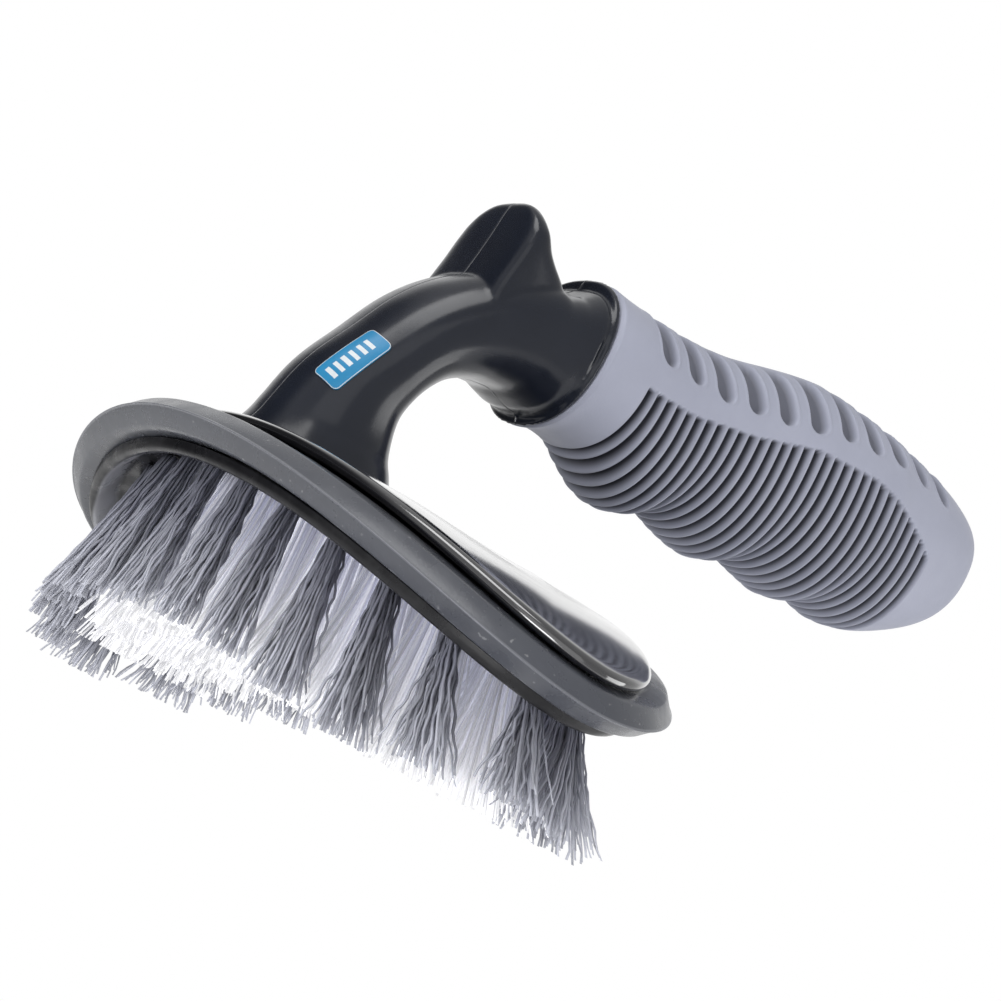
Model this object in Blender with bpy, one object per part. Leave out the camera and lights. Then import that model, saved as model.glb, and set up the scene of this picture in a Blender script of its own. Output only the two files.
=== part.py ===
# Wheel brush: an arched oval head carrying rows of bristle tufts, with a two-shell arched neck,
# a thumb stop and a soft ribbed grip set across the head.
# X runs along the head, Y along the handle towards its butt, Z up. The tuft tips stand on Z = 0.
import math

import bmesh
import bpy
from mathutils import Matrix, Vector

MM = 0.001
GAP = 0.3  # clearance between neighbouring pieces, mm

# head, mm
HEAD = (84.3, 39.5)  # half length and half width at the bumper's parting line
COVER = (80.5, 30.0)  # the same for the cover plate, at its lip
OVAL_POWER = 1.85  # a superellipse a little more pointed than an ellipse
OVAL_Y = -1.6  # the ovals' middle, ahead of the handle's
ARCH_R = 213.0  # radius of the head's arch: both ends droop towards the bristles
HEAD_Y = -33.25  # the handle's Y = 0, with the origin midway between the head's front and the butt
HEAD_SEGS = 64

# bristles, mm
TUFT_LEN = 27.8  # crown plane to trimmed face, at mid length
TRIM_CURVE = 0.0042  # the trimmed face drops by half of this times x squared
TRIM_END_X = 74.0  # beyond this the trimmed face runs level
HEAD_Z = TUFT_LEN + TRIM_CURVE * TRIM_END_X**2 / 2  # the arch's crown plane, with the tips on Z = 0
FLOOR_H = -1.2
SPREAD_X, SPREAD_Y = 1.19, 1.10  # tip position over root position
OUTER_ROW = (65.0, 26.5, 24)  # half axes of the row, tuft count
MIDDLE_ROW = (50.0, 16.0, 18)
CENTRE_ROW_PITCH, CENTRE_ROW_COUNT = 12.5, 7
ROOT_R, TIP_R, TUFT_SEGS = 2.7, 4.3, 12

# handle, mm
SHELL_WALL = 2.6

COLOURS = {
    "black_plastic": ((0.018, 0.019, 0.023), 0.32),
    "gloss_black": ((0.012, 0.012, 0.014), 0.12),
    "grey_rubber": ((0.13, 0.135, 0.145), 0.55),
    "lavender_tpr": ((0.33, 0.34, 0.41), 0.6),
    "dark_bristle": ((0.16, 0.165, 0.2), 0.5),
    "pale_bristle": ((0.5, 0.5, 0.62), 0.45),
    "blue_label": ((0.02, 0.27, 0.6), 0.35),
}

for old in list(bpy.data.objects):
    bpy.data.objects.remove(old, do_unlink=True)

brush = bpy.data.collections.new("wheel_brush")
cutters = bpy.data.collections.new("cutters")
cutters.hide_render = True
origin = bpy.data.objects.new("head_middle", None)
origin.location = (0, HEAD_Y * MM, 0)
brush.objects.link(origin)
bpy.context.scene.collection.children.link(brush)
bpy.context.scene.collection.children.link(cutters)


def material(node, kind):
    colour, rough = COLOURS[kind]
    made = bpy.data.materials.new(node + "_" + kind)
    made.use_nodes = True
    shader = made.node_tree.nodes["Principled BSDF"]
    shader.inputs["Base Color"].default_value = (*colour, 1)
    shader.inputs["Roughness"].default_value = rough
    shader.inputs["Metallic"].default_value = 0
    return made


def place(name, mesh, kind=None):
    obj = bpy.data.objects.new(name, mesh)
    obj.parent = origin
    if kind:
        brush.objects.link(obj)
        obj.data.materials.append(material(name, kind))
    else:
        cutters.objects.link(obj)
        obj.hide_render = True
        obj.display_type = "WIRE"
    mesh.shade_smooth()
    mesh.set_sharp_from_angle(angle=math.radians(40))
    return obj


def loft(name, rings, kind=None, closed=False):
    """A closed solid through rings of equal count; with closed, the last ring joins the first."""
    bm = bmesh.new()
    rows = [[bm.verts.new(Vector(p) * MM) for p in ring] for ring in rings]
    pairs = list(zip(rows, rows[1:]))
    if closed:
        pairs.append((rows[-1], rows[0]))
    for low, high in pairs:
        for i in range(len(low)):
            j = (i + 1) % len(low)
            bm.faces.new((low[i], low[j], high[j], high[i]))
    if not closed:
        bm.faces.new(reversed(rows[0]))
        bm.faces.new(rows[-1])
    bmesh.ops.recalc_face_normals(bm, faces=bm.faces)
    mesh = bpy.data.meshes.new(name)
    bm.to_mesh(mesh)
    bm.free()
    return place(name, mesh, kind)


def boolean(obj, other, operation):
    step = obj.modifiers.new(other.name, "BOOLEAN")
    step.operation = operation
    step.solver = "EXACT"
    step.object = other
    return obj


def arch(x, y, h):
    """A point of the flat head, x along it and h above its crown plane, carried onto the arch."""
    turn = x / ARCH_R
    return ((ARCH_R + h) * math.sin(turn), y, (ARCH_R + h) * math.cos(turn) - ARCH_R + HEAD_Z)


def lens(a, b, turn):
    """A point of a superellipse with half axes a and b, about the ovals' middle."""
    c, s = math.cos(turn), math.sin(turn)
    x = a * math.copysign(abs(c) ** (2 / OVAL_POWER), c)
    y = b * math.copysign(abs(s) ** (2 / OVAL_POWER), s)
    return x, y + OVAL_Y


def oval(inset, h, scale=1.0, half=HEAD):
    """A ring on the arch, inset from the oval and scaled about its middle."""
    a, b = ((axis - inset) * scale for axis in half)
    return [arch(*lens(a, b, 2 * math.pi * i / HEAD_SEGS), h) for i in range(HEAD_SEGS)]


def bowl(name, profile, kind=None, half=HEAD):
    """Rings of (inset, height, scale) from the underside's middle round to the top's middle."""
    return loft(name, [oval(inset, h, scale, half) for inset, h, scale in profile], kind)


# ---- head: cover, bumper, tuft block ----
COVER_WALL = [(1.6, 2.6, 1), (0.5, 2.9, 1), (0, 3.6, 1), (0.5, 4.3, 1), (2.2, 4.7, 1)]
COVER_TOP = [(2.2, 5.1, 0.85), (2.2, 5.6, 0.6), (2.2, 5.8, 0.35), (2.2, 5.9, 0.12)]
COVER_UNDER = [(1.6, 2.6, 0.12), (1.6, 2.6, 0.4), (1.6, 2.6, 0.7)]
bowl("head_cover", COVER_UNDER + COVER_WALL + COVER_TOP, "gloss_black", COVER)

BUMPER = [(0, 0), (0.5, 1.1), (1.8, 2.0), (3.7, 2.3), (7.4, 2.3), (7.4, -2.9), (4.4, -2.9), (2.0, -2.3),
          (0.6, -1.2)]
loft("bumper_ring", [oval(inset, h) for inset, h in BUMPER], "grey_rubber", closed=True)

RIM = [(10.6, FLOOR_H, 1), (9.0, -2.6, 1), (7.6, -4.4, 1), (6.4, -5.2, 1), (5.4, -4.8, 1), (5.0, -3.2, 1),
       (7.7, -3.2, 1), (7.7, 2.3, 1)]
BLOCK_UNDER = [(10.6, FLOOR_H, 0.12), (10.6, FLOOR_H, 0.4), (10.6, FLOOR_H, 0.7)]
BLOCK_TOP = [(7.7, 2.3, 0.7), (7.7, 2.3, 0.4), (7.7, 2.3, 0.12)]
bowl("tuft_block", BLOCK_UNDER + RIM + BLOCK_TOP, "black_plastic")

# ---- handle: neck, thumb stop, collar and the core inside the grip ----
# (y, z above the crown plane, heading in degrees from +Y, half width, half depth)
NECK = [
    (-15.2, 1.0, 90, 15.0, 14.3), (-15.3, 6.6, 90, 13.0, 11.7), (-15.8, 10.0, 90, 11.8, 10.3),
    (-15.6, 16.4, 86, 11.5, 8.6), (-13.1, 22.8, 66, 12.2, 7.2), (-10.0, 28.6, 50, 12.8, 7.3),
    (-6.3, 32.8, 36, 13.4, 7.8), (-1.4, 36.3, 22, 14.2, 8.6), (4.7, 38.9, 9, 15.0, 9.8),
    (10.1, 39.8, 4, 15.5, 11.8), (14.2, 40.0, 0, 16.1, 13.6),
]
CORE = [(14.3, 40.0, 0, 12.2, 9.8), (40.0, 40.6, 3, 11.4, 9.6), (70.0, 43.0, 3, 12.0, 11.2),
        (94.0, 44.0, 0, 9.0, 8.4)]
# (y, top, bottom, half width) of the soft grip, heights above the crown plane
GRIP = [
    (14.6, 53.6, 26.6, 16.3), (18.4, 53.3, 27.8, 16.3), (24.0, 53.3, 27.4, 16.2), (28.6, 53.5, 24.7, 16.0),
    (33.2, 53.9, 22.5, 15.9), (37.6, 54.5, 22.8, 15.8), (41.8, 55.3, 25.5, 15.8), (46.0, 56.5, 25.2, 15.9),
    (51.0, 58.1, 24.0, 16.1), (56.2, 59.6, 23.7, 16.3), (60.8, 60.6, 26.3, 16.5), (65.0, 60.8, 26.1, 16.7),
    (69.4, 60.8, 25.4, 16.9), (73.8, 60.6, 25.0, 17.0), (77.8, 60.4, 26.9, 17.0), (81.2, 60.1, 26.8, 16.4),
    (85.5, 59.6, 26.2, 16.0), (90.1, 59.1, 27.1, 15.2), (95.3, 58.2, 29.6, 13.6), (100.5, 56.8, 32.9, 11.2),
    (104.2, 55.2, 36.3, 8.6), (106.5, 53.2, 40.2, 5.8), (107.6, 50.0, 45.6, 2.4),
]


def section(y, z, heading, wide, deep, power=2.3, segs=28):
    """A rounded section in the plane across the heading, mirrored about X = 0."""
    a = math.radians(heading)
    ring = []
    for i in range(segs):
        t = 2 * math.pi * (i + 0.5) / segs
        c, s = math.cos(t), math.sin(t)
        x = wide * math.copysign(abs(c) ** (2 / power), c)
        p = deep * math.copysign(abs(s) ** (2 / power), s)
        ring.append((x, y - p * math.sin(a), z + p * math.cos(a) + HEAD_Z))
    return ring


def grown(stations, by):
    return [section(y, z, heading, wide + by, deep + by) for y, z, heading, wide, deep in stations]


# thumb stop: (z, front y, back y, half width) of level sections, flat in front and rounded behind
STOP = [(34.0, -5.8, 12.4, 11.9), (40.0, -7.1, 10.6, 11.5), (45.5, -7.6, 7.7, 11.0), (49.5, -7.5, 4.9, 10.0),
        (52.5, -7.3, 2.9, 8.6), (55.0, -6.7, 1.3, 6.4), (56.6, -5.2, 0.2, 3.6), (57.2, -3.8, -0.6, 1.5)]
STOP_NOSE = 2.5  # depth of the flat front's corners


def stop_section(z, front, back, wide, segs=28):
    split = min(front + STOP_NOSE, (front + back) / 2)
    ring = []
    for i in range(segs):
        t = 2 * math.pi * (i + 0.5) / segs
        c, s = math.cos(t), math.sin(t)
        x = wide * math.copysign(abs(c) ** 0.45, c)
        y = split + (back - split) * s if s > 0 else split - (split - front) * abs(s) ** 0.6
        ring.append((x, y, z + HEAD_Z))
    return ring


def box(name, low, high):
    bm = bmesh.new()
    bmesh.ops.create_cube(bm, size=1)
    middle, size = (Vector(low) + Vector(high)) / 2, Vector(high) - Vector(low)
    for v in bm.verts:
        v.co = (middle + v.co * size) * MM
    mesh = bpy.data.meshes.new(name)
    bm.to_mesh(mesh)
    bm.free()
    return place(name, mesh)


neck_skin = grown(NECK, 0) + grown(CORE, 0)
stop_skin = [stop_section(*row) for row in STOP]
stop_solid = loft("cut_stop", stop_skin)
cover_room = bowl("cut_cover", [(-2.0, -8.0, 0.1), (-2.0, -8.0, 1), (-2.0, 4.7 + GAP, 1), (2.2, 4.7 + GAP, 1)]
                  + [(i, h + GAP, s) for i, h, s in COVER_TOP], half=COVER)
hollow_rows = [(y, z, a, w - SHELL_WALL, d - SHELL_WALL) for y, z, a, w, d in NECK[2:9] + CORE[:3]]
hollow = loft("cut_hollow", grown(hollow_rows, 0))
for side, x0, x1 in (("right", GAP / 2, 40), ("left", -40, -GAP / 2)):
    half = box("cut_half_" + side, (x0, -60, 0), (x1, 140, 140))
    shell = loft("handle_shell_" + side, neck_skin, "black_plastic")
    boolean(shell, stop_solid, "UNION")
    boolean(shell, cover_room, "DIFFERENCE")
    boolean(shell, hollow, "DIFFERENCE")
    boolean(shell, half, "INTERSECT")

# ---- soft grip over the core ----
grip_rings = [section(y, (top + low) / 2, 0, wide, (top - low) / 2) for y, top, low, wide in GRIP]
sleeve = loft("grip_sleeve", grip_rings, "lavender_tpr")
core_room = loft("cut_core", [section(10.0, 40.0, 0, 12.2 + GAP, 9.8 + GAP)] + grown(CORE[:-1], GAP)
                 + [section(94.0 + GAP, 44.0, 0, 9.0 + GAP, 8.4 + GAP)])
boolean(sleeve, core_room, "DIFFERENCE")

# ---- tufts ----


def tip_height(x):
    reach = min(abs(x), TRIM_END_X)
    return TUFT_LEN + TRIM_CURVE * reach * reach / 2


def tuft(name, x, y, kind):
    """A flared column from the recess floor down to the trimmed face, leaning outwards."""
    turn = x / ARCH_R
    root = Vector(arch(x, y, FLOOR_H - GAP))
    tip = Vector((root.x * SPREAD_X, OVAL_Y + (y - OVAL_Y) * SPREAD_Y, 0))
    tip.z = HEAD_Z - tip_height(tip.x)
    bm = bmesh.new()
    bmesh.ops.create_cone(bm, cap_ends=True, segments=TUFT_SEGS, radius1=TIP_R, radius2=ROOT_R, depth=1)
    for v in bm.verts:
        on_floor = v.co.z > 0
        sag = -v.co.x * math.tan(turn) if on_floor else 0
        v.co = ((root if on_floor else tip) + Vector((v.co.x, v.co.y, sag))) * MM
    mesh = bpy.data.meshes.new(name)
    bm.to_mesh(mesh)
    bm.free()
    return place(name, mesh, kind)


def row_places(a, b, count, phase):
    """Places spaced evenly by length round an oval."""
    steps = 720
    points = [lens(a, b, 2 * math.pi * i / steps) for i in range(steps)]
    lengths = [0.0]
    for i in range(steps):
        (x0, y0), (x1, y1) = points[i], points[(i + 1) % steps]
        lengths.append(lengths[-1] + math.hypot(x1 - x0, y1 - y0))
    places = []
    for n in range(count):
        want = lengths[-1] * ((n + phase) / count)
        i = max(k for k in range(steps) if lengths[k] <= want)
        places.append(points[i])
    return places


for n, (x, y) in enumerate(row_places(*OUTER_ROW, 0.0)):
    tuft("tuft_outer_%02d" % (n + 1), x, y, "dark_bristle")
for n, (x, y) in enumerate(row_places(*MIDDLE_ROW, 0.5)):
    tuft("tuft_middle_%02d" % (n + 1), x, y, "pale_bristle")
for n in range(CENTRE_ROW_COUNT):
    x = (n - (CENTRE_ROW_COUNT - 1) / 2) * CENTRE_ROW_PITCH
    tuft("tuft_centre_%02d" % (n + 1), x, OVAL_Y, "pale_bristle")

# ---- label: a thin skin on the neck's front right shoulder ----
LABEL_AT = Vector((8.5, -20.8, 19.9 + HEAD_Z))
LABEL_ALONG, LABEL_OUT = Vector((0.07, 0.43, 0.9)).normalized(), Vector((0.5, -0.795, 0.346))
LABEL_LONG, LABEL_WIDE, LABEL_CORNER = 5.8, 2.7, 0.7  # half sizes, corner cut
label_out = (LABEL_OUT - LABEL_ALONG * LABEL_OUT.dot(LABEL_ALONG)).normalized()
label_across = label_out.cross(LABEL_ALONG)
long_in, wide_in = LABEL_LONG - LABEL_CORNER, LABEL_WIDE - LABEL_CORNER
outline = [(-LABEL_LONG, -wide_in), (-long_in, -LABEL_WIDE), (long_in, -LABEL_WIDE), (LABEL_LONG, -wide_in),
           (LABEL_LONG, wide_in), (long_in, LABEL_WIDE), (-long_in, LABEL_WIDE), (-LABEL_LONG, wide_in)]
label_window = [[LABEL_AT + LABEL_ALONG * u + label_across * v + label_out * w for u, v in outline]
                for w in (-4, 9)]
window = loft("cut_label", label_window)
under_label = loft("cut_under_label", grown(NECK, GAP))
label = loft("label", grown(NECK, GAP + 0.35), "blue_label")
boolean(label, window, "INTERSECT")
boolean(label, under_label, "DIFFERENCE")
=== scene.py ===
import math
import random
from typing import NamedTuple

import bmesh
import bpy
import numpy as np
from mathutils import Matrix, Vector
from mathutils.bvhtree import BVHTree

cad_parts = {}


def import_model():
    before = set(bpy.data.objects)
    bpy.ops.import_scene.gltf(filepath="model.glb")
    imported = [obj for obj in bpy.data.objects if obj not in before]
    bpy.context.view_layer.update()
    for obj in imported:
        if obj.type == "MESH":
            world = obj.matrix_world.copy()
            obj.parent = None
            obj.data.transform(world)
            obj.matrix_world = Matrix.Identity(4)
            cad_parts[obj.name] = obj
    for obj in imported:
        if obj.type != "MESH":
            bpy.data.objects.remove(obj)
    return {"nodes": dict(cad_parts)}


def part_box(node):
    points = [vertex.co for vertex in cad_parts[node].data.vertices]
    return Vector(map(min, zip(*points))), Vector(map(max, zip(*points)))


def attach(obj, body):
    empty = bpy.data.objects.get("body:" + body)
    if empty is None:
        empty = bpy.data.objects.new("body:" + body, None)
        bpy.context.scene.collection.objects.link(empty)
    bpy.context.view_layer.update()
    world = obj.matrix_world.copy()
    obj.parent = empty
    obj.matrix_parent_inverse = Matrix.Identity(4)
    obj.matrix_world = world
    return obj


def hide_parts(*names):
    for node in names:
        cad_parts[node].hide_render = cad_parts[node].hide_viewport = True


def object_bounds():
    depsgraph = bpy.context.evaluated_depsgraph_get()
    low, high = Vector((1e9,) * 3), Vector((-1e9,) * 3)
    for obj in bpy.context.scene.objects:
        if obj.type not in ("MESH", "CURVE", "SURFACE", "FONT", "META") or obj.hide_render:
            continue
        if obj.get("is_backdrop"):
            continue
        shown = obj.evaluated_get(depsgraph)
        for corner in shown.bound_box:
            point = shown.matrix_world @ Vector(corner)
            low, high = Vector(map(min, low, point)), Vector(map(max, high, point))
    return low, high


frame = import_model()
cad_low, cad_high = (Vector(p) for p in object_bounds())

MM = 0.001

# ---- the head's frame, read from the CAD bumper ----
BUMPER_TOP, BUMPER_UNDER = 2.3, -2.9
ring_low, ring_high = (Vector(p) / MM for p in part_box("bumper_ring"))
HEAD = (84.3, (ring_high.y - ring_low.y) / 2)  # half axes at the bumper's parting line
COVER = (80.5, 30.0)  # half axes of the cover plate's lip
OVAL_POWER = 1.85
OVAL_Y = -1.6
HEAD_Y = (ring_high.y + ring_low.y) / 2 - OVAL_Y
CROWN_Z = ring_high.z - BUMPER_TOP
ARCH_R = 213.0
FLOOR_H = -1.2  # the recess floor that the tufts stand in


def world(x, y, z):
    """A point of the head's frame in the shared frame, in metres."""
    return Vector((x, y + HEAD_Y, z + CROWN_Z)) * MM


def arch(x, y, h):
    """A point of the flat head carried onto its arch, in the shared frame."""
    turn = x / ARCH_R
    return world((ARCH_R + h) * math.sin(turn), y, (ARCH_R + h) * math.cos(turn) - ARCH_R)


# ---- materials ----
class Shader:
    """A Principled material with short helpers for its procedural inputs."""

    def __init__(self, name, rough, spec=0.5):
        self.material = bpy.data.materials.new(name)
        self.material.use_nodes = True
        self.tree = self.material.node_tree
        self.main = self.tree.nodes["Principled BSDF"]
        self.main.inputs["Roughness"].default_value = rough
        self.main.inputs["Specular IOR Level"].default_value = spec
        self.coords = self.add("ShaderNodeTexCoord").outputs["Object"]

    def add(self, kind, **settings):
        node = self.tree.nodes.new(kind)
        for key, value in settings.items():
            setattr(node, key, value)
        return node

    def link(self, out, to):
        self.tree.links.new(out, to)

    def noise(self, scale, detail=4, rough=0.6, stretch=(1, 1, 1)):
        spread = self.add("ShaderNodeMapping")
        spread.inputs["Scale"].default_value = stretch
        self.link(self.coords, spread.inputs["Vector"])
        made = self.add("ShaderNodeTexNoise")
        made.inputs["Scale"].default_value = scale
        made.inputs["Detail"].default_value = detail
        made.inputs["Roughness"].default_value = rough
        self.link(spread.outputs["Vector"], made.inputs["Vector"])
        return made.outputs["Fac"]

    def ramp(self, value, *stops):
        """Colours along value: stops are (position, (r, g, b)) pairs."""
        made = self.add("ShaderNodeValToRGB")
        elements = made.color_ramp.elements
        while len(elements) < len(stops):
            elements.new(0.5)
        for element, (position, colour) in zip(elements, stops):
            element.position = position
            element.color = (*colour, 1)
        self.link(value, made.inputs["Fac"])
        return made.outputs["Color"]

    def grey(self, value, *stops):
        return self.ramp(value, *((position, (level,) * 3) for position, level in stops))

    def mix(self, factor, a, b, blend="MIX"):
        made = self.add("ShaderNodeMix", data_type="RGBA", blend_type=blend)
        for key, value in (("Factor", factor), ("A", a), ("B", b)):
            socket = made.inputs[key]
            if isinstance(value, bpy.types.NodeSocket):
                self.link(value, socket)
            elif isinstance(value, (int, float)):
                socket.default_value = value
            else:
                socket.default_value = (*value, 1)
        return made.outputs["Result"]

    def attribute(self, name):
        return self.add("ShaderNodeAttribute", attribute_name=name).outputs["Fac"]

    def set(self, **inputs):
        names = {"colour": "Base Color", "rough": "Roughness"}
        for key, value in inputs.items():
            self.link(value, self.main.inputs[names[key]])
        return self

    def bump(self, height, strength, distance):
        made = self.add("ShaderNodeBump")
        made.inputs["Strength"].default_value = strength
        made.inputs["Distance"].default_value = distance
        self.link(height, made.inputs["Height"])
        self.link(made.outputs["Normal"], self.main.inputs["Normal"])
        return self


def shell_black():
    s = Shader("shell_black_plastic", 0.22, 0.45)
    cloud = s.noise(60, 3)
    s.set(colour=s.ramp(cloud, (0.3, (0.0080, 0.0100, 0.0165)), (0.7, (0.0110, 0.0135, 0.0215))))
    s.set(rough=s.grey(s.noise(220, 5, 0.7), (0.3, 0.17), (0.75, 0.27)))
    return s.bump(s.noise(1500, 3), 0.05, 0.0001)


def cover_black():
    s = Shader("cover_gloss_plastic", 0.08, 0.7)
    scratch = s.noise(900, 2, 0.5, (1, 0.04, 1))
    s.set(colour=s.ramp(s.noise(90, 4), (0.35, (0.005, 0.005, 0.007)), (0.75, (0.012, 0.012, 0.015))))
    s.set(rough=s.grey(scratch, (0.45, 0.12), (0.75, 0.20)))
    s.main.inputs["Coat Weight"].default_value = 1.0
    s.main.inputs["Coat Roughness"].default_value = 0.11
    s.main.inputs["Coat IOR"].default_value = 1.8
    return s.bump(scratch, 0.01, 0.00005)


def bumper_grey():
    s = Shader("bumper_soft_grey", 0.34, 0.5)
    speck = s.noise(900, 2, 0.5)
    body = s.ramp(s.noise(45, 5), (0.3, (0.058, 0.062, 0.075)), (0.7, (0.076, 0.081, 0.096)))
    worn = s.mix(s.grey(speck, (0.68, 0), (0.74, 0.5)), body, (0.3, 0.3, 0.31))
    # Painted highlight: the parting-line bead is painted lighter along its whole length.
    s.set(colour=s.mix(s.attribute("bead"), worn, (0.15, 0.155, 0.175)))
    s.set(rough=s.grey(s.noise(180, 4), (0.3, 0.22), (0.7, 0.34)))
    return s.bump(s.noise(1800, 3), 0.12, 0.0001)


def block_black():
    s = Shader("block_moulded_black", 0.25, 0.35)
    wall = s.ramp(s.noise(50, 5), (0.3, (0.40, 0.405, 0.43)), (0.7, (0.45, 0.455, 0.48)))
    black = s.ramp(s.noise(300, 4), (0.4, (0.0045, 0.0045, 0.006)), (0.72, (0.016, 0.016, 0.018)))
    # The grey of the inner wall, mixed in by the wall attribute, is partly painted light.
    s.set(colour=s.mix(s.attribute("wall"), black, wall))
    s.set(rough=s.grey(s.noise(160, 4), (0.3, 0.2), (0.7, 0.42)))
    return s.bump(s.noise(1300, 3), 0.12, 0.0001)


def grip_lavender():
    s = Shader("grip_lavender_rubber", 0.55, 0.25)
    body = s.ramp(s.noise(40, 5), (0.3, (0.310, 0.324, 0.400)), (0.7, (0.358, 0.372, 0.455)))
    # Painted shade: the bottoms of the ribs and slots are darkened towards near black by the groove
    # attribute.
    s.set(colour=s.mix(s.attribute("groove"), body, (0.014, 0.014, 0.020)))
    s.set(rough=s.grey(s.noise(300, 4), (0.3, 0.48), (0.7, 0.62)))
    s.main.inputs["Sheen Weight"].default_value = 0.08
    return s.bump(s.noise(2600, 2), 0.2, 0.00012)


def bristle(name, root, middle, tip, rough, painted_glow=0.0):
    """Filaments vary one from the next and are darker at their roots, a painted shade, paling towards their
    cut tips; translucent ones get a painted glow from emission.
    """
    s = Shader(name, rough, 0.25)
    # Each filament runs from a darker root to a paler tip: the dark roots are painted shade.
    along = s.ramp(s.attribute("along"), (0.0, root), (0.4, middle), (0.98, tip))
    tone = s.grey(s.attribute("strand"), (0.0, 0.68), (1.0, 1.28))
    s.set(colour=s.mix(1.0, along, tone, "MULTIPLY"))
    # Painted glow: the filaments emit their own colour, though they are no lamp.
    s.link(along, s.main.inputs["Emission Color"])
    s.main.inputs["Emission Strength"].default_value = painted_glow
    return s.set(rough=s.grey(s.noise(400, 3), (0.3, rough - 0.08), (0.7, rough + 0.1)))


def label_blue():
    s = Shader("label_blue_film", 0.3)
    s.set(colour=s.ramp(s.noise(120, 3), (0.3, (0.0086, 0.190, 0.385)), (0.7, (0.011, 0.214, 0.425))))
    return s.bump(s.noise(500, 3), 0.05, 0.0001)


def label_print():
    s = Shader("label_white_print", 0.4)
    return s.set(colour=s.ramp(s.noise(300, 3), (0.3, (0.56, 0.60, 0.63)), (0.7, (0.64, 0.68, 0.70))))


# ---- mesh helpers ----
def linked(name, data):
    """A new object of the data, in the scene."""
    obj = bpy.data.objects.new(name, data)
    bpy.context.scene.collection.objects.link(obj)
    return obj


def finish_piece(name, mesh, shaders, node):
    """A visible piece on the brush's one body, in place of its CAD node."""
    obj = linked(name, mesh)
    for shader in shaders:
        mesh.materials.append(shader.material)
    mesh.shade_smooth()
    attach(obj, "root")
    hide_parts(node)


def mesh_of(bm, name):
    """The finished bmesh as a mesh; the bmesh is freed."""
    mesh = bpy.data.meshes.new(name)
    bm.to_mesh(mesh)
    bm.free()
    return mesh


def grid_mesh(name, rings, closed=False):
    """Rings of equal count joined into a skin; closed joins the last ring to the first."""
    count, width = len(rings), len(rings[0])
    points = np.array([tuple(p) for ring in rings for p in ring])
    last = count if closed else count - 1
    rows = np.arange(last)[:, None]
    cols = np.arange(width)[None, :]
    a = rows * width + cols
    b = rows * width + (cols + 1) % width
    c = ((rows + 1) % count) * width + (cols + 1) % width
    d = ((rows + 1) % count) * width + cols
    faces = np.stack([a, b, c, d], -1).reshape(-1, 4).tolist()
    if not closed:
        faces.append(list(range(width))[::-1])
        faces.append([(count - 1) * width + i for i in range(width)])
    mesh = bpy.data.meshes.new(name)
    mesh.from_pydata(points.tolist(), [], faces)
    bm = bmesh.new()
    bm.from_mesh(mesh)
    bmesh.ops.recalc_face_normals(bm, faces=bm.faces)
    bm.to_mesh(mesh)
    bm.free()
    return mesh


def point_values(mesh, name, values):
    layer = mesh.attributes.new(name, "FLOAT", "POINT")
    layer.data.foreach_set("value", np.asarray(values, dtype=np.float32))


def smooth_rows(rows, steps):
    """The rows of numbers with Catmull-Rom rows between them, steps to each gap."""
    table = np.array(rows, dtype=float)
    padded = np.vstack([2 * table[0] - table[1], table, 2 * table[-1] - table[-2]])
    out = []
    for i in range(1, len(padded) - 2):
        p0, p1, p2, p3 = padded[i - 1], padded[i], padded[i + 1], padded[i + 2]
        for n in range(steps):
            t = n / steps
            out.append(0.5 * (2 * p1 + (p2 - p0) * t + (2 * p0 - 5 * p1 + 4 * p2 - p3) * t * t
                              + (3 * p1 - p0 - 3 * p2 + p3) * t**3))
    out.append(table[-1])
    return out


def power_pair(t, power):
    """A point of the unit superellipse."""
    c, s = math.cos(t), math.sin(t)
    return math.copysign(abs(c) ** (2 / power), c), math.copysign(abs(s) ** (2 / power), s)


def smoothstep(low, high, value):
    t = np.clip((np.asarray(value, dtype=float) - low) / (high - low), 0, 1)
    return t * t * (3 - 2 * t)


# ---- head ----
HEAD_SEGS = 256


def oval(inset, h, scale=1.0, half=HEAD):
    """A ring on the arch, inset from a superellipse and scaled about its middle."""
    a, b = ((axis - inset) * scale for axis in half)
    ring = []
    for i in range(HEAD_SEGS):
        x, y = power_pair(2 * math.pi * i / HEAD_SEGS, OVAL_POWER)
        ring.append(arch(a * x, b * y + OVAL_Y, h))
    return ring


# Profiles below are (inset, height) points.
COVER_FOOT = (1.6, 2.6)
COVER_WALL = [COVER_FOOT, (1.2, 2.62), (0.5, 2.85), (0.05, 3.3), (0.0, 3.7), (0.25, 4.15),
              (0.9, 4.5), (1.7, 4.62)]
COVER_TOP_INSET = 2.0
COVER_CROWN = [(0.995, 4.66), (0.98, 4.67), (0.94, 4.68), (0.85, 4.71), (0.6, 4.8), (0.3, 4.88),
               (0.03, 4.9)]  # (share of the way out, height)


def head_cover():
    """The plate: a rounded wall and lip round a slightly domed crown."""
    rings = [oval(*COVER_FOOT, share, COVER) for share in (0.05, 0.5, 0.9)]
    rings += [oval(inset, h, 1.0, COVER) for inset, h in smooth_rows(COVER_WALL, 4)]
    rings += [oval(COVER_TOP_INSET, h, share, COVER) for share, h in COVER_CROWN]
    mesh = grid_mesh("head_cover_plate", rings)
    finish_piece("head_cover_plate", mesh, [cover_black()], "head_cover")


BUMPER_BEAD = [(0.26, 0.13), (0.04, 0.08), (0.0, 0.0), (0.04, -0.08), (0.26, -0.13)]
BUMPER_ABOVE = [(3.9, BUMPER_TOP), (3.0, 2.28), (2.4, 2.1), (0.40, 0.24)]
BUMPER_BELOW = [(0.40, -0.26), (2.3, -2.5), (2.9, -2.82), (3.8, BUMPER_UNDER), (4.4, BUMPER_UNDER)]
BUMPER_INSIDE = [(5.4, BUMPER_UNDER), (7.4, BUMPER_UNDER), (7.4, 0.0), (7.4, BUMPER_TOP), (5.4, BUMPER_TOP)]


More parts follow.
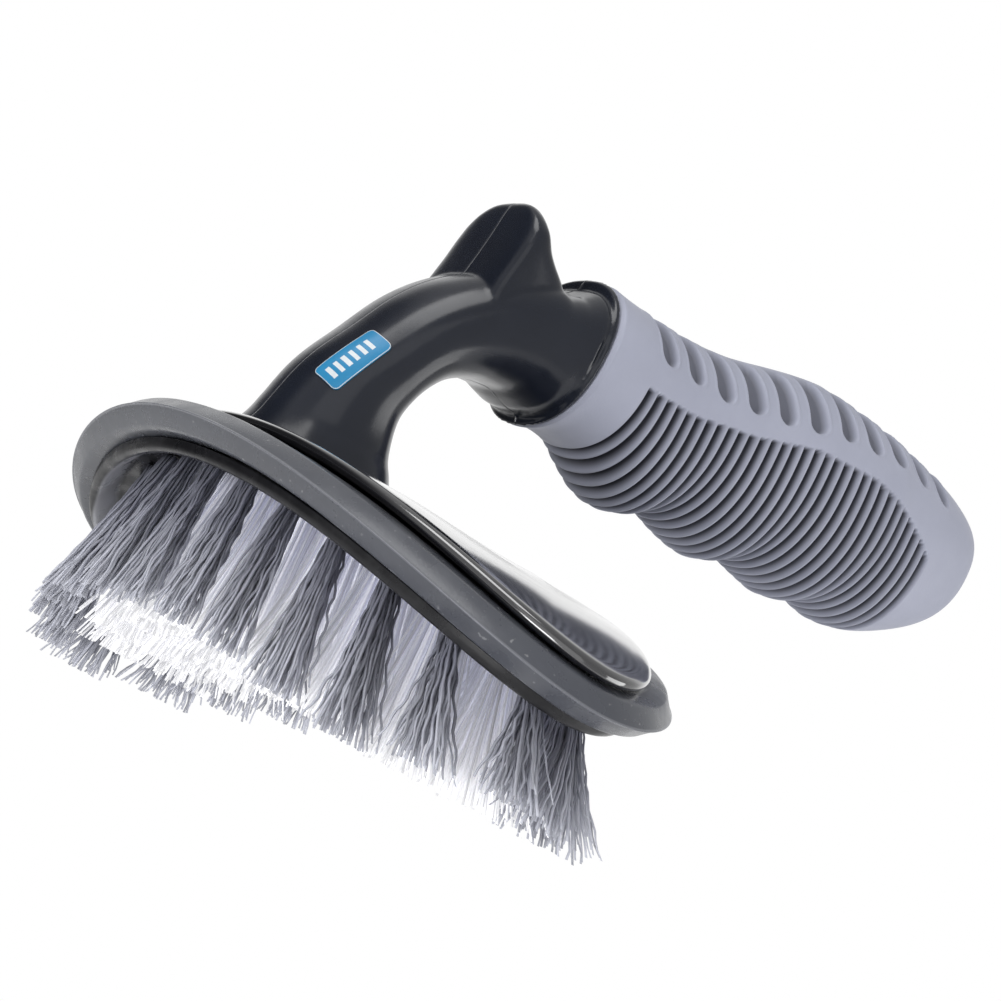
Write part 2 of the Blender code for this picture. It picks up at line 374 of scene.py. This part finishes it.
def bumper():
    """Two flat faces that meet at the moulding's parting line, which stands proud as a fine bead."""
    profile = BUMPER_ABOVE + BUMPER_BEAD + BUMPER_BELOW + BUMPER_INSIDE
    mesh = grid_mesh("bumper_band", [oval(inset, h) for inset, h in profile], closed=True)
    # The bead attribute marks where the painted highlight along the parting line goes.
    point_values(mesh, "bead", np.repeat([point in BUMPER_BEAD for point in profile], HEAD_SEGS))
    finish_piece("bumper_band", mesh, [bumper_grey()], "bumper_ring")


RECESS_INSET = 11.4
RIM = [(RECESS_INSET, FLOOR_H), (10.6, FLOOR_H - 0.15), (9.7, -1.9), (8.7, -3.2), (7.6, -4.5),
       (6.9, -5.05), (6.2, -5.15), (5.6, -4.9), (5.25, -4.3), (5.15, -3.7), (5.1, -3.25)]
PLUG_INSET, PLUG_FOOT, PLUG_TOP = 7.7, -3.2, 2.25
GREY_FROM, GREY_TO = (6.7, 7.3), (9.0, 10.6)  # insets where the rim's grey sets in and ends
LEFT_END, LEFT_LIGHT_SPREAD = (-70, -52), 1.3  # painted light: the grey spreads this much further at the left end, where the rim's foot catches the light


def tuft_block():
    """The block: recess floor, rim and the plug inside the bumper."""
    rim = smooth_rows(RIM, 3)
    floor = [oval(RECESS_INSET, FLOOR_H, share) for share in (0.04, 0.3, 0.6, 0.8, 0.92)]
    plug = [oval(PLUG_INSET, h) for h in (PLUG_FOOT, 0.0, PLUG_TOP)]
    plug += [oval(PLUG_INSET, PLUG_TOP, share) for share in (0.6, 0.3, 0.04)]
    mesh = grid_mesh("tuft_block_body", floor + [oval(inset, h) for inset, h in rim] + plug)
    # The inner wall is grey, partly its own colour and partly painted light; at the left end the grey
    # reaches the rim's foot too, which is painted light. The floor and outer face are black.
    left = 1 - smoothstep(*LEFT_END, [v.co.x / MM for v in mesh.vertices])
    inset = np.repeat([RECESS_INSET] * len(floor) + [row[0] for row in rim] + [0.0] * len(plug), HEAD_SEGS)
    start, full = (edge - LEFT_LIGHT_SPREAD * left for edge in GREY_FROM)
    point_values(mesh, "wall", smoothstep(start, full, inset) * (1 - smoothstep(*GREY_TO, inset)))
    finish_piece("tuft_block_body", mesh, [block_black()], "tuft_block")


# ---- handle ----
# (y, z, heading in degrees from +Y, half width, half depth, squareness, thumb valley, top lowered)
NECK = [
    (-15.2, 1.0, 90, 15.0, 14.3, 2.3, 0, 0), (-15.3, 6.6, 90, 13.0, 11.7, 2.3, 0, 0),
    (-15.8, 10.0, 90, 11.8, 10.3, 2.3, 0, 0), (-15.6, 16.4, 86, 11.5, 8.6, 2.3, 0, 0),
    (-13.1, 22.8, 66, 12.2, 7.2, 2.3, 0, 0), (-10.0, 28.6, 50, 12.8, 7.3, 2.3, 0, 0),
    (-6.3, 32.8, 36, 13.4, 7.8, 2.4, 0, 0), (-1.4, 36.3, 22, 14.2, 8.6, 2.6, 0.3, 0.1),
    (4.7, 38.9, 9, 15.0, 9.8, 2.8, 1.2, 1.1), (7.6, 39.4, 6, 15.2, 10.8, 2.8, 1.4, 2.5),
    (10.1, 39.8, 4, 15.4, 11.7, 2.8, 1.2, 3.0),
]
# The collar ends in a fine groove and a flange as wide as the grip, then the core runs on inside.
COLLAR = [(11.6, 40.2, 3, 15.6, 12.1, 2.6, 0.6, 2.4), (12.7, 40.2, 2, 15.8, 12.2, 2.5, 0.4, 1.4),
          (12.9, 40.2, 1, 15.1, 11.7, 2.4, 0.2, 0.9), (13.3, 40.1, 1, 15.1, 11.7, 2.4, 0.2, 0.6),
          (13.45, 40.0, 1, 16.0, 13.3, 2.3, 0, 0.3), (14.2, 40.0, 0, 16.1, 13.6, 2.3, 0, 0)]
CORE_END = [(14.3, 40.0, 0, 12.2, 9.8, 2.3, 0, 0), (30.0, 40.4, 0, 11.8, 9.6, 2.3, 0, 0)]
VALLEY_HALF = 0.62  # half width of the thumb valley over the neck's
# thumb stop: (z, front y, back y, half width) of level sections, flat in front and rounded behind
STOP = [
    (32.0, -6.2, 14.2, 13.2), (35.5, -7.3, 13.2, 13.2), (39.0, -7.3, 12.0, 12.8),
    (42.0, -7.0, 10.6, 12.4), (45.5, -6.4, 8.6, 12.3), (47.5, -6.1, 6.4, 12.3),
    (49.0, -5.9, 3.8, 12.3), (50.5, -5.7, 1.6, 12.1), (52.5, -5.5, -0.2, 11.5),
    (54.6, -5.3, -1.5, 9.4), (56.3, -4.9, -2.3, 6.3), (57.12, -4.1, -3.0, 2.8),
]
STOP_NOSE = 2.5  # depth of the rounding round the stop's front face
STOP_SIDES, STOP_FRONT = 0.42, 0.55  # exponents: the smaller, the squarer
SKIN_VOXEL, SKIN_SOFTENING = 0.32, 9  # grain of the blended skin, passes that soften it
SEAM = 0.2  # half the gap between the two shells
SEAM_LIP_SHUT, SEAM_LIP_Y, SEAM_LIP_Z = 0.2, 0.03, 0.05  # how far the seam's lip is drawn in
SEAM_MIDDLE_Z = 30  # the height that it is drawn towards


def section(y, z, heading, wide, deep, power, valley, lowered, segs):
    """A superellipse across the neck's run, with the thumb valley sunk into its top."""
    a = math.radians(heading)
    ring = []
    for i in range(segs):
        x, p = power_pair(2 * math.pi * (i + 0.5) / segs, power)
        within = abs(x) / VALLEY_HALF
        sunk = valley * (1 - within**2) ** 2 if p > 0 and within < 1 else 0
        x, p = x * wide, p * (deep - lowered if p > 0 else deep) - sunk
        ring.append(world(x, y - p * math.sin(a), z + p * math.cos(a)))
    return ring


def stop_section(z, front, back, wide, segs):
    """A level section of the thumb stop."""
    split = min(front + STOP_NOSE, (front + back) / 2)
    ring = []
    for i in range(segs):
        t = 2 * math.pi * (i + 0.5) / segs
        c, s = math.cos(t), math.sin(t)
        x = wide * math.copysign(abs(c) ** STOP_SIDES, c)
        y = split + (back - split) * s if s > 0 else split - (split - front) * abs(s) ** STOP_FRONT
        ring.append(world(x, y, z))
    return ring


def applied(obj):
    """The object's mesh with its modifiers applied, the object itself removed."""
    graph = bpy.context.evaluated_depsgraph_get()
    mesh = bpy.data.meshes.new_from_object(obj.evaluated_get(graph))
    bpy.data.objects.remove(obj)
    return mesh


def handle_skin():
    """Neck, thumb stop and collar blended into one skin."""
    neck = grid_mesh("neck", [section(*row, 96) for row in smooth_rows(NECK, 6) + COLLAR + CORE_END])
    stop = grid_mesh("stop", [stop_section(*row, 72) for row in smooth_rows(STOP, 4)])
    both = bmesh.new()
    both.from_mesh(neck)
    both.from_mesh(stop)
    obj = linked("handle", mesh_of(both, "handle"))
    remesh = obj.modifiers.new("remesh", "REMESH")
    remesh.mode = "VOXEL"
    remesh.voxel_size = SKIN_VOXEL * MM
    soften = obj.modifiers.new("soften", "SMOOTH")
    soften.factor = 0.5
    soften.iterations = SKIN_SOFTENING
    return applied(obj)


def handle_shells(skin):
    """The skin cut into two shells that leave a fine seam between them."""
    black = shell_black()
    for side, sign in (("right", 1), ("left", -1)):
        bm = bmesh.new()
        bm.from_mesh(skin)
        everything = bm.verts[:] + bm.edges[:] + bm.faces[:]
        cut = bmesh.ops.bisect_plane(bm, geom=everything, plane_co=(sign * SEAM * MM, 0, 0),
                                     plane_no=(-sign, 0, 0), clear_outer=True)
        rim = [e for e in cut["geom_cut"] if isinstance(e, bmesh.types.BMEdge)]
        inner = bmesh.ops.extrude_edge_only(bm, edges=rim)
        # The seam's edge turns inwards, so that light catches its small radius.
        for v in (v for v in inner["geom"] if isinstance(v, bmesh.types.BMVert)):
            v.co.x = sign * SEAM * MM * SEAM_LIP_SHUT
            v.co.y += (HEAD_Y * MM - v.co.y) * SEAM_LIP_Y
            v.co.z += ((CROWN_Z + SEAM_MIDDLE_Z) * MM - v.co.z) * SEAM_LIP_Z
        mesh = mesh_of(bm, "handle_shell_skin_" + side)
        finish_piece("handle_skin_" + side, mesh, [black], "handle_shell_" + side)


# ---- grip ----
# (y, top, bottom, half width)
GRIP = [
    (14.6, 53.6, 26.6, 16.3), (18.4, 53.3, 27.8, 16.3), (24.0, 53.3, 27.4, 16.2), (28.6, 53.5, 24.7, 16.0),
    (33.2, 53.9, 22.5, 15.9), (37.6, 54.5, 22.8, 15.8), (41.8, 55.3, 25.5, 15.8), (46.0, 56.5, 25.2, 15.9),
    (51.0, 58.1, 24.0, 16.1), (56.2, 59.6, 23.7, 16.3), (60.8, 60.55, 26.3, 16.5), (65.0, 60.72, 26.1, 16.7),
    (69.4, 60.72, 25.4, 16.9), (73.8, 60.6, 25.0, 17.0), (77.8, 60.4, 26.9, 17.0), (81.2, 60.1, 26.8, 16.4),
    (85.5, 59.6, 26.2, 16.0), (90.1, 59.1, 27.1, 15.2), (95.3, 58.2, 29.6, 13.6), (100.5, 56.8, 32.9, 11.2),
    (104.2, 55.2, 36.3, 8.6), (106.5, 53.2, 40.2, 5.8), (107.6, 50.0, 45.6, 2.4),
]
# (y, height) where the ribs end on the flank
RIB_LINE = [(20, 39.6), (34, 40.6), (46, 43.3), (58, 47.5), (72, 49.2), (80, 47.4), (87, 44.2), (93, 40.0)]
RIB_START, RIB_END, RIB_COUNT, RIB_DEPTH = 23.4, 89.6, 31, 1.5
SLOT_START, SLOT_PITCH, SLOT_COUNT, SLOT_DEPTH = 26.0, 6.38, 11, 1.3
SLOT_HALF, SLOT_LEAN, SLOT_LIP = 1.95, 2.4, 0.13
# (y, height) where the slots begin
SLOT_FOOT = [(20, 44.7), (40, 45.5), (52, 48.2), (65, 52.1), (78, 53.9), (95, 52.4)]
GRIP_POWER = 2.3
GRIP_EDGE, GRIP_EDGE_LONG = 0.5, 0.8  # rounding of the sleeve's end at the collar
GRIP_ROWS, BUTT_ROWS, GRIP_SEGS = 500, 60, 320
GRIP_ROWS_END, BUTT_START = 92.0, 92.2  # the butt has no ribs, so its rows stand further apart
RIB_SHADE, SLOT_SHADE = 0.96, 0.62  # how much painted shade darkens the bottoms of ribs and slots


def rib_depth(y, z):
    """Saw-toothed fins: each rises slowly to a thin crest and drops sharply behind it."""
    pitch = (RIB_END - RIB_START) / RIB_COUNT
    phase = ((y - RIB_START) / pitch) % 1.0
    drop = smoothstep(0.08, 0.18, phase)
    climb = 1 - np.clip((phase - 0.42) / 0.58, 0, 1) ** 1.5
    line = np.interp(y, *zip(*RIB_LINE))
    along = smoothstep(0.0, 0.1, y - RIB_START) * smoothstep(0.0, 0.1, RIB_END - y)
    return drop * climb * smoothstep(0.0, 0.22, line - z) * along


def slot_depth(y, z, top):
    """Rounded slots with a fine raised lip, climbing from the flank and fading out towards the crown."""
    foot = np.interp(y, *zip(*SLOT_FOOT))
    rise = np.clip((z - foot) / (top - foot), 0, 1)
    shifted = y + SLOT_LEAN * rise
    index = np.clip(np.round((shifted - SLOT_START) / SLOT_PITCH), 0, SLOT_COUNT - 1)
    across = shifted - (SLOT_START + index * SLOT_PITCH)
    below = np.maximum(foot + SLOT_HALF - z, 0)
    reach = np.hypot(across, below)
    fade = 1 - smoothstep(0.80, 0.985, rise)
    lip = np.exp(-(((reach - SLOT_HALF * 1.1) / 0.2) ** 2))
    return (1 - smoothstep(SLOT_HALF * 0.62, SLOT_HALF, reach) - SLOT_LIP * lip) * fade


def grip():
    """The overmoulded sleeve: a lofted tube with its ribs and slots sunk along the surface's normal."""
    table = np.array(smooth_rows(GRIP, 12))
    butt = np.linspace(BUTT_START, GRIP[-1][0], BUTT_ROWS)
    ys = np.concatenate([np.linspace(GRIP[0][0], GRIP_ROWS_END, GRIP_ROWS), butt])
    top, low, wide = (np.interp(ys, table[:, 0], table[:, k]) for k in (1, 2, 3))
    turns = 2 * np.pi * (np.arange(GRIP_SEGS) + 0.5) / GRIP_SEGS
    cx, sz = np.transpose([power_pair(t, GRIP_POWER) for t in turns])
    mid, half = (top + low) / 2, (top - low) / 2
    x = wide[:, None] * cx[None, :]
    z = mid[:, None] + half[:, None] * sz[None, :]
    y = np.repeat(ys[:, None], GRIP_SEGS, 1)
    ribs = rib_depth(y, z)
    slots = slot_depth(y, z, top[:, None])
    # The sleeve's end at the collar is rounded inwards.
    edge = GRIP_EDGE * (1 - smoothstep(0, GRIP_EDGE_LONG, y - GRIP[0][0]))
    sink = RIB_DEPTH * ribs + SLOT_DEPTH * slots + edge
    nx, nz = cx / wide[:, None], sz / half[:, None]
    length = np.hypot(nx, nz)
    x = x - sink * nx / length
    z = z - sink * nz / length
    rings = [[world(x[i, j], y[i, j], z[i, j]) for j in range(GRIP_SEGS)] for i in range(len(ys))]
    mesh = grid_mesh("grip_ribbed_sleeve", rings)
    # Painted shade for the rib grooves and slots, carried to the material by the groove attribute.
    groove = smoothstep(0.02, 0.9, ribs) * RIB_SHADE + np.maximum(slots, 0) * SLOT_SHADE
    point_values(mesh, "groove", groove.ravel())
    finish_piece("grip_ribbed_sleeve", mesh, [grip_lavender()], "grip_sleeve")


# ---- bristles ----
FILAMENT_SIDES = 4
TIP_SHARE, TIP_THIN = 0.9, 0.75  # beyond this share of its length a filament is this much thinner
GOLDEN_TURN = 2.39996  # spreads locks, and the filaments in them, evenly round their middle
TURN = 6.28


class Tuft(NamedTuple):
    """How one kind of tuft is made up: locks of twisted filaments."""

    locks: int
    strands: int  # filaments in a lock
    radius: tuple  # least and greatest radius of a filament
    rings: int  # rings of points along a filament
    tie: float  # spread at the roots over the CAD column's
    flare: float  # spread at the tips over the CAD column's
    crimp: float  # depth of a filament's waves
    twist: float  # most twist of a lock, in radians
    strays: float  # share of the filaments that leave their lock
    uneven: float  # most that a tip is cut short


DARK_TUFT = Tuft(locks=7, strands=9, radius=(0.19, 0.27), rings=22, tie=0.60, flare=0.84,
                 crimp=0.19, twist=1.8, strays=0.06, uneven=3.0)
PALE_TUFT = Tuft(locks=8, strands=15, radius=(0.20, 0.26), rings=8, tie=1.45, flare=1.35,
                 crimp=0.03, twist=0.3, strays=0.0, uneven=2.4)
FAR_FLARE = 2.25  # the far tufts and the one at the left end have been splayed most by use
FAR_SLOPE = 0.05  # slope, across the head, of the line that parts them from the near ones
END_FLARE, END_FROM, END_TO = 0.5, 10, 55  # the near tufts are splayed more towards the right end
FILL_X = cad_high.x / MM - 0.6  # filaments stay inside the CAD's length
FLOOR_CLEAR = 0.02  # and this far above its lowest point
WORN_FROM, WORN_BY, WORN_LEAN = 50.0, 9.0, 0.4  # the tufts at the right end are worn a little shorter
LOCK_IN_ROOT, LOCK_IN_TIPS = 0.6, 0.72  # where locks stand, over the tuft's spread
STRAND_IN_ROOT, STRAND_IN_TIPS, STRAY_IN_TIPS = 0.5, 0.42, 1.1  # where filaments stand, over the same
BOW, LOCK_JITTER, TUFT_JITTER, TIP_JITTER = 1.1, 0.7, 0.5, 0.7
OPENING = 1.7  # exponent: a lock keeps narrow at first and opens towards its tips
WAVES = (3.5, 6.0)  # waves along a filament


class Filaments:
    """The growing mesh of a tuft's thin filaments."""

    def __init__(self):
        self.points, self.values, self.faces = [], [], []

    def add(self, path, radius, strand, turn):
        """One filament along path; strand is its place in the range of tones."""
        start, last = len(self.points), len(path) - 1
        for n, p in enumerate(path):
            share = n / last
            r = radius * (1.0 if share < TIP_SHARE else TIP_THIN)
            for k in range(FILAMENT_SIDES):
                a = turn + 2 * math.pi * k / FILAMENT_SIDES
                self.points.append((p[0] + r * math.cos(a), p[1] + r * math.sin(a), p[2]))
                self.values.append((share, strand))
        for n in range(last):
            for k in range(FILAMENT_SIDES):
                a = start + n * FILAMENT_SIDES + k
                b = start + n * FILAMENT_SIDES + (k + 1) % FILAMENT_SIDES
                self.faces.append((a, b, b + FILAMENT_SIDES, a + FILAMENT_SIDES))
        end = start + last * FILAMENT_SIDES
        self.faces.append(tuple(end + k for k in range(FILAMENT_SIDES)))
        self.faces.append(tuple(start + FILAMENT_SIDES - 1 - k for k in range(FILAMENT_SIDES)))

    def mesh(self, name):
        made = bpy.data.meshes.new(name)
        made.from_pydata(self.points, [], self.faces)
        along, strand = np.transpose(self.values)
        point_values(made, "along", along)
        point_values(made, "strand", strand)
        return made


def turned(radius, angle):
    return Vector((radius * math.cos(angle), radius * math.sin(angle), 0))


def column(node, kind):
    """Root and tip of a CAD column, and how wide its filaments spread at both."""
    low, high = (Vector(p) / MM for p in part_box(node))
    obj = frame["nodes"][node]
    corners = np.array([obj.matrix_world @ v.co for v in obj.data.vertices]) / MM
    upper = corners[corners[:, 2] > (low.z + high.z) / 2]
    lower = corners[corners[:, 2] < (low.z + high.z) / 2]
    root, tip = Vector(upper.mean(0)), Vector(lower.mean(0))
    far = root.y - HEAD_Y - OVAL_Y > FAR_SLOPE * root.x
    splay = FAR_FLARE if far else 1 + END_FLARE * float(smoothstep(END_FROM, END_TO, root.x))
    root_r = np.abs(upper[:, 1] - root.y).max() * kind.tie
    tip_r = np.abs(lower[:, 1] - tip.y).max() * kind.flare * splay
    return root, tip, root_r, tip_r


def tuft(node, kind, shader, rng):
    """The loose filaments of one tuft, from its CAD column's root to its trimmed tip."""
    root, tip, root_r, tip_r = column(node, kind)
    worn = WORN_BY * float(smoothstep(WORN_FROM, cad_high.x / MM, tip.x))
    tip += Vector((rng.gauss(0, TUFT_JITTER) - worn * WORN_LEAN, rng.gauss(0, TUFT_JITTER), 0))
    filaments = Filaments()
    for n in range(kind.locks):
        angle, share = n * GOLDEN_TURN + rng.uniform(-0.3, 0.3), math.sqrt((n + 0.4) / kind.locks)
        lock_root = root + turned(root_r * share * LOCK_IN_ROOT, angle)
        lock_tip = tip + turned(tip_r * share * LOCK_IN_TIPS, angle)
        lock_tip += turned(rng.uniform(0, LOCK_JITTER), rng.uniform(0, TURN))
        bow = turned(rng.uniform(0, BOW), rng.uniform(0, TURN))
        twist = rng.uniform(-kind.twist, kind.twist)
        for m in range(kind.strands):
            spin, reach = m * GOLDEN_TURN + angle, math.sqrt((m + 0.5) / kind.strands)
            within = STRAY_IN_TIPS if rng.random() < kind.strays else STRAND_IN_TIPS
            tip_reach = tip_r * within * reach + abs(rng.gauss(0, TIP_JITTER))
            cut = tip.z + worn + rng.uniform(0.0, 1.0) ** 2 * kind.uneven
            side, phase, waves = rng.uniform(0, TURN), rng.uniform(0, TURN), rng.uniform(*WAVES)
            crimp = kind.crimp * rng.uniform(0.5, 1.5)
            path = []
            for k in range(kind.rings):
                s = k / (kind.rings - 1)
                opened = s**OPENING
                p = lock_root.lerp(lock_tip, s) - (lock_tip - lock_root - tip + root) * (s - opened)
                p += turned(root_r * STRAND_IN_ROOT * reach * (1 - s) + tip_reach * opened, spin + twist * s)
                p += bow * math.sin(math.pi * s)
                p += turned(crimp * min(s * 4, 1) * math.sin(phase + s * waves * 2 * math.pi), side)
                x = min(max(p.x, -FILL_X), FILL_X)
                z = max(root.z + (cut - root.z) * s, FLOOR_CLEAR)
                path.append((x * MM, p.y * MM, z * MM))
            filaments.add(path, rng.uniform(*kind.radius) * MM, rng.random(), rng.uniform(0, TURN / 2))
    finish_piece(node + "_filaments", filaments.mesh(node + "_filaments"), [shader], node)


def bristles():
    """Dark tufts in the outer row, pale ones inside it."""
    rng = random.Random(7)
    dark = bristle("bristle_dark_grey", (0.090, 0.093, 0.117), (0.210, 0.215, 0.262),
                   (0.50, 0.51, 0.57), 0.42)
    # The pale filaments get a painted glow of 0.12.
    pale = bristle("bristle_pale_lavender", (0.73, 0.74, 0.85), (0.82, 0.83, 0.91),
                   (0.96, 0.96, 0.98), 0.45, 0.12)
    for node in sorted(n for n in frame["nodes"] if n.startswith("tuft_") and n != "tuft_block"):
        if node.startswith("tuft_outer"):
            tuft(node, DARK_TUFT, dark, rng)
        else:
            tuft(node, PALE_TUFT, pale, rng)


# ---- label ----
LABEL_AT = (8.5, -20.8, 19.9)
LABEL_ALONG, LABEL_OUT = Vector((0.07, 0.43, 0.9)).normalized(), Vector((0.5, -0.795, 0.346))
LABEL_LONG, LABEL_WIDE, LABEL_ROUND = 5.7, 2.75, 0.9  # half sizes, corner radius
LABEL_COLS, LABEL_ROWS = 112, 50
LABEL_TOP, LABEL_UNDER, LABEL_BORDER = 0.32, 0.02, 0.13  # heights over the skin, width of the border
LABEL_BARS, BAR_REACH, BAR_SHARE, BAR_TALL = 6, 0.78, 0.5, 0.44  # a row of plain marks


def label(skin):
    """A thin rounded film that follows the neck's skin, with a border and plain bars."""
    out = (LABEL_OUT - LABEL_ALONG * LABEL_OUT.dot(LABEL_ALONG)).normalized()
    across = out.cross(LABEL_ALONG)
    middle = world(*LABEL_AT)
    tree = BVHTree.FromPolygons([v.co for v in skin.vertices], [tuple(p.vertices) for p in skin.polygons])

    def on_skin(u, v, lift):
        above = middle + (LABEL_ALONG * u + across * v + out * 12) * MM
        hit = tree.ray_cast(above, -out, 0.05)[0]
        return hit + out * lift * MM

    def squared(u, v):
        """A point of the unit square carried into the rounded rectangle."""
        x, y = u * LABEL_LONG, v * LABEL_WIDE
        inner_x, inner_y = LABEL_LONG - LABEL_ROUND, LABEL_WIDE - LABEL_ROUND
        over_x, over_y = max(abs(x) - inner_x, 0), max(abs(y) - inner_y, 0)
        reach = math.hypot(over_x, over_y)
        longest = max(over_x, over_y)
        if reach > 0:
            x = math.copysign(inner_x + over_x * longest / reach, x) if over_x else x
            y = math.copysign(inner_y + over_y * longest / reach, y) if over_y else y
        return x, y

    bm = bmesh.new()
    us = [2 * i / LABEL_COLS - 1 for i in range(LABEL_COLS + 1)]
    vs = [2 * j / LABEL_ROWS - 1 for j in range(LABEL_ROWS + 1)]
    top = [[bm.verts.new(on_skin(*squared(u, v), LABEL_TOP)) for v in vs] for u in us]
    under = [[bm.verts.new(on_skin(*squared(u, v), LABEL_UNDER)) for v in vs] for u in us]
    for i in range(LABEL_COLS):
        for j in range(LABEL_ROWS):
            face = bm.faces.new((top[i][j], top[i + 1][j], top[i + 1][j + 1], top[i][j + 1]))
            bm.faces.new((under[i][j], under[i][j + 1], under[i + 1][j + 1], under[i + 1][j]))
            u, v = us[i] + 1 / LABEL_COLS, vs[j] + 1 / LABEL_ROWS
            edge = min((1 - abs(u)) * LABEL_LONG, (1 - abs(v)) * LABEL_WIDE)
            mark = (u + BAR_REACH) / (2 * BAR_REACH) * LABEL_BARS
            bar = 0 < mark < LABEL_BARS and mark % 1.0 < BAR_SHARE and abs(v) < BAR_TALL
            face.material_index = 1 if bar or edge < LABEL_BORDER else 0
    for line_top, line_under in ((top[0], under[0]), (top[-1], under[-1]),
                                 ([row[0] for row in top], [row[0] for row in under]),
                                 ([row[-1] for row in top], [row[-1] for row in under])):
        for n in range(len(line_top) - 1):
            bm.faces.new((line_top[n], line_under[n], line_under[n + 1], line_top[n + 1]))
    bmesh.ops.recalc_face_normals(bm, faces=bm.faces)
    mesh = mesh_of(bm, "label_sticker")
    finish_piece("label_sticker", mesh, [label_blue(), label_print()], "label")


# ---- stage ----
VIEW_FROM = (334.4, -167.8, -44.4)
VIEW_RIGHT, VIEW_FORWARD = Vector((0.493, 0.745, 0.449)), Vector((-0.864, 0.480, 0.153))
VIEW_SENSOR, VIEW_LENS = 36.0, 86.3137  # camera sensor's width and lens, in millimetres
ROOM_LOW, ROOM_HIGH, BACKDROP, FLAG = 0.62, 0.50, 1.0, 0.03  # brightness of each part of the room
FLAG_AT = VIEW_FORWARD * Vector((1, -1, 1))  # the thumb stop's front face mirrors the dark flag
CONE = (0.72, 0.93)  # cosines between which the flag and the backdrop fade in
FLOOR_HALF, FLOOR_Z = 0.8, -0.25
# (name, direction from the brush, distance over the direction's length, size, power)
SOFTBOXES = [
    ("softbox_band", (0.02, -0.55, 0.83), 0.7, (0.50, 0.36), 2.0),
    ("softbox_right", (0.45, 0.75, -0.05), 0.9, (0.6, 0.6), 3.0),
    ("softbox_front", (0.75, -0.60, 0.15), 0.9, (0.9, 0.9), 1.3),
    ("softbox_low", (0.50, -0.80, -0.26), 0.75, (0.3, 0.25), 2.0),
]


def stage():
    """A plain pale floor."""
    bm = bmesh.new()
    bmesh.ops.create_grid(bm, x_segments=1, y_segments=1, size=FLOOR_HALF)
    floor = linked("floor", mesh_of(bm, "floor"))
    floor.location.z = FLOOR_Z
    pale = Shader("pale_floor", 0.9, 0.1)
    pale.set(colour=pale.ramp(pale.noise(3, 2), (0.3, (0.93, 0.93, 0.94)), (0.7, (0.95, 0.95, 0.95))))
    floor.data.materials.append(pale.material)
    floor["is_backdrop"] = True


def studio():
    """A bright backdrop beyond the brush, a dimmer room on the near side and a dark flag."""
    sky = bpy.data.worlds.new("studio")
    bpy.context.scene.world = sky
    sky.use_nodes = True
    tree = sky.node_tree
    out = tree.nodes["Background"]
    look = tree.nodes.new("ShaderNodeTexCoord").outputs["Generated"]

    def towards(direction, low, high):
        dot = tree.nodes.new("ShaderNodeVectorMath")
        dot.operation = "DOT_PRODUCT"
        dot.inputs[1].default_value = direction
        tree.links.new(look, dot.inputs[0])
        span = tree.nodes.new("ShaderNodeMapRange")
        span.inputs["From Min"].default_value, span.inputs["From Max"].default_value = low, high
        span.interpolation_type = "SMOOTHSTEP"
        tree.links.new(dot.outputs["Value"], span.inputs["Value"])
        return span.outputs["Result"]

    def blend(factor, a, b):
        made = tree.nodes.new("ShaderNodeMix")
        tree.links.new(factor, made.inputs["Factor"])
        for socket, value in ((made.inputs["A"], a), (made.inputs["B"], b)):
            if isinstance(value, float):
                socket.default_value = value
            else:
                tree.links.new(value, socket)
        return made.outputs["Result"]

    # The flag shows in reflections only.
    flag = tree.nodes.new("ShaderNodeMath")
    flag.operation = "MULTIPLY"
    tree.links.new(towards(FLAG_AT, *CONE), flag.inputs[0])
    tree.links.new(tree.nodes.new("ShaderNodeLightPath").outputs["Is Glossy Ray"], flag.inputs[1])
    room = blend(towards((0, 0, 1), -0.6, 0.8), ROOM_LOW, ROOM_HIGH)
    room = blend(flag.outputs["Value"], room, FLAG)
    tree.links.new(blend(towards(VIEW_FORWARD, *CONE), room, BACKDROP), out.inputs["Strength"])
    out.inputs["Color"].default_value = (1, 1, 1, 1)


def lights():
    """Four softboxes aimed at the middle of the brush."""
    bpy.context.scene.view_settings.view_transform = "Standard"
    middle = (cad_low + cad_high) / 2
    for name, direction, distance, size, power in SOFTBOXES:
        lamp = bpy.data.lights.new(name, "AREA")
        lamp.shape = "RECTANGLE"
        lamp.size, lamp.size_y = size
        lamp.energy = power
        obj = linked(name, lamp)
        offset = Vector(direction) * distance
        obj.location = middle + offset
        obj.rotation_euler = (-offset).to_track_quat("-Z", "Y").to_euler()


def camera():
    """Looks across the handle's right flank, a little upwards, and rolled to one side."""
    right = VIEW_RIGHT.normalized()
    forward = (VIEW_FORWARD - right * VIEW_FORWARD.dot(right)).normalized()
    up = right.cross(forward)
    lens = bpy.data.cameras.new("camera")
    lens.sensor_width, lens.lens = VIEW_SENSOR, VIEW_LENS
    lens.clip_start = 0.01
    obj = linked("camera", lens)
    axes = Matrix((right, up, -forward)).transposed().to_4x4()
    obj.matrix_world = Matrix.Translation(world(*VIEW_FROM)) @ axes
    bpy.context.scene.camera = obj


head_cover()
bumper()
tuft_block()
handle = handle_skin()
handle_shells(handle)
label(handle)
bpy.data.meshes.remove(handle)
grip()
bristles()
stage()
studio()
lights()
camera()
